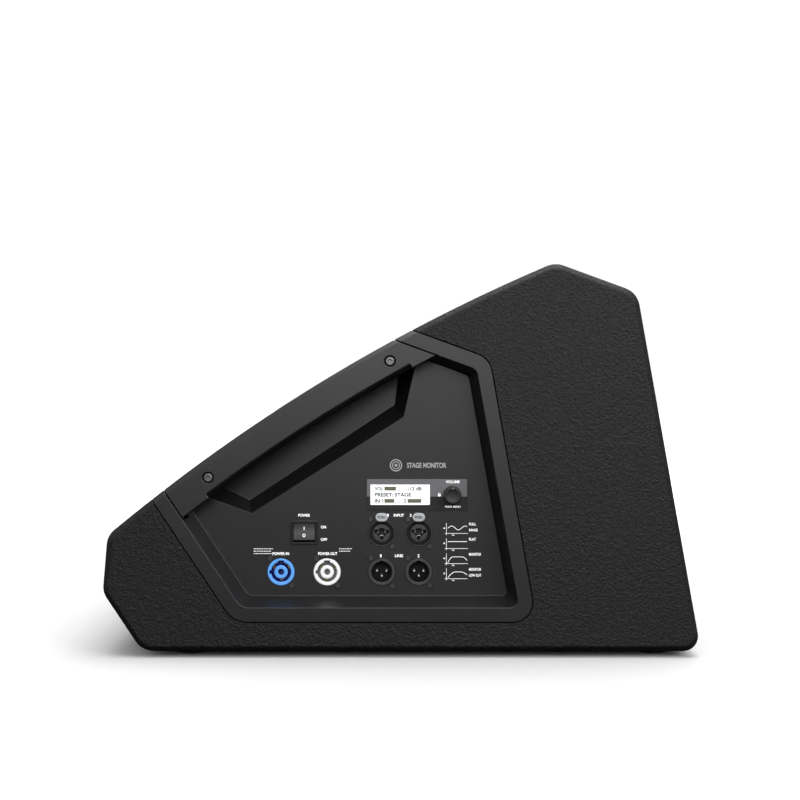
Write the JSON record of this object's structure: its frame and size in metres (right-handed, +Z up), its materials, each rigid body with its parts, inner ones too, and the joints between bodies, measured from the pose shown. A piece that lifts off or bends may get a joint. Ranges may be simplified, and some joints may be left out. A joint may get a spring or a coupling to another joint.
{
  "type": "stage monitor wedge",
  "caption": "Active wedge floor monitor with coaxial driver, curved perforated grille, side connector tray, carrying handle, display, sockets and pole socket.",
  "frame": {"origin": "on the floor, under the middle of the cabinet's side view and of its width", "axes": "+Z up; -X towards the low nose in front of the grille, +X towards the rear face; -Y towards the side with the connectors"},
  "size_m": [0.514, 0.49, 0.3395],
  "materials": {
    "cabinet_paint": "textured black paint with a fine orange peel",
    "baffle_paint": "black stained plywood",
    "grille_steel": "powder-coated perforated steel",
    "acoustic_foam": "open-cell foam",
    "black_screws": "blackened steel",
    "port_plastic": "moulded",
    "foot_rubber": "matt",
    "tray_plastic": "fine satin moulding",
    "handle_plastic": "fine satin moulding",
    "zinc_screws": "dull zinc",
    "socket_plastic": "moulded",
    "smoked_window": "smoked, polished",
    "lcd_face": "backlit panel",
    "encoder_metal": "turned",
    "contact_brass": "plated",
    "knob_plastic": "ribbed",
    "switch_plastic": "semi-gloss",
    "rocker_plastic": "semi-gloss",
    "blue_plastic": "moulded",
    "white_plastic": "moulded",
    "socket_black": "moulded",
    "latch_plastic": "moulded",
    "contact_silver": "silver plated",
    "bare_aluminium": "extruded",
    "amp_board_green": "solder mask",
    "transformer_copper": "enamelled copper winding",
    "capacitor_sleeve": "shrink sleeve",
    "dsp_board_blue": "solder mask",
    "cable_jacket": "PVC",
    "wadding": "polyester wadding",
    "basket_aluminium": "black-coated casting",
    "gasket_foam": "matt",
    "paper_cone": "pressed paper",
    "surround_cloth": "doped cloth",
    "spider_cloth": "resin-treated cloth",
    "coil_copper": "wound wire",
    "magnet_steel": "plated",
    "magnet_ferrite": "ferrite",
    "horn_plastic": "moulded",
    "diaphragm_metal": "titanium foil"
  },
  "bodies": {
    "cabinet": {"side_panel_io": "cabinet_paint", "side_panel_far": "cabinet_paint", "base_panel": "cabinet_paint", "rear_panel": "cabinet_paint", "top_panel": "cabinet_paint", "nose_panel": "cabinet_paint", "lower_front_panel": "cabinet_paint", "baffle_board": "baffle_paint", "grille_cleats": "cabinet_paint", "front_grille": "grille_steel", "grille_foam": "acoustic_foam", "grille_screws": "black_screws", "port_tubes": "port_plastic", "rubber_feet": "foot_rubber", "foot_and_socket_screws": "black_screws", "io_tray": "tray_plastic", "carry_handle": "handle_plastic", "handle_screws": "zinc_screws", "pole_socket": "socket_plastic", "display_window": "smoked_window", "display_module": "lcd_face", "encoder_body": "encoder_metal", "switch_housing": "switch_plastic", "power_in_socket": "blue_plastic", "power_out_socket": "white_plastic", "power_contacts": "contact_brass", "combo_socket_1": "socket_black", "combo_socket_2": "socket_black", "thru_socket_1": "socket_black", "thru_socket_2": "socket_black", "signal_contacts": "contact_silver", "connector_screws": "black_screws", "amp_heatsink": "bare_aluminium", "amp_board": "amp_board_green", "power_transformer": "transformer_copper", "filter_capacitors": "capacitor_sleeve", "dsp_board": "dsp_board_blue", "speaker_cables": "cable_jacket", "damping_wadding": "wadding", "driver_basket": "basket_aluminium", "frame_gasket": "gasket_foam", "driver_screws": "black_screws", "cone_surround": "surround_cloth", "cone_spider": "spider_cloth", "magnet_top_plate": "magnet_steel", "magnet_ring": "magnet_ferrite", "pole_plate": "magnet_steel", "horn": "horn_plastic", "hf_housing": "magnet_steel", "hf_magnet": "magnet_ferrite", "hf_rear_cap": "horn_plastic"},
    "volume_push": {"encoder_actuator": "contact_brass"},
    "volume_control": {"encoder_shaft": "encoder_metal", "volume_knob": "knob_plastic"},
    "power_rocker": {"switch_rocker": "rocker_plastic"},
    "input_1_latch": {"combo_latch_1": "latch_plastic"},
    "input_2_latch": {"combo_latch_2": "latch_plastic"},
    "cone_assembly": {"woofer_cone": "paper_cone", "voice_coil": "coil_copper"},
    "horn_diaphragm": {"hf_diaphragm": "diaphragm_metal"}
  },
  "joints": [
    {"name": "volume_press", "type": "slide", "parent": "cabinet", "child": "volume_push", "axis": [0, 1, 0], "range_m": [0, 0.0008], "stiffness_N_per_m": 800},
    {"name": "volume_turn", "type": "hinge", "parent": "volume_push", "child": "volume_control", "pos_m": [0.0454, -0.215, 0.1386], "axis": [0, 1, 0], "continuous": true},
    {"name": "power_switch", "type": "hinge", "parent": "cabinet", "child": "power_rocker", "pos_m": [-0.085, -0.212, 0.1052], "axis": [1, 0, 0], "range_deg": [0, 20]},
    {"name": "input_1_release", "type": "slide", "parent": "cabinet", "child": "input_1_latch", "axis": [0, 1, 0], "range_m": [0, 0.0018]},
    {"name": "input_2_release", "type": "slide", "parent": "cabinet", "child": "input_2_latch", "axis": [0, 1, 0], "range_m": [0, 0.0018]},
    {"name": "cone_travel", "type": "slide", "parent": "cabinet", "child": "cone_assembly", "axis": [-0.5206, 0, 0.8538], "range_m": [-0.006, 0.006], "deforming": ["cone_surround", "cone_spider"]},
    {"name": "diaphragm_travel", "type": "slide", "parent": "cabinet", "child": "horn_diaphragm", "axis": [-0.5206, 0, 0.8538], "range_m": [-0.0003, 0.0003]}
  ]
}
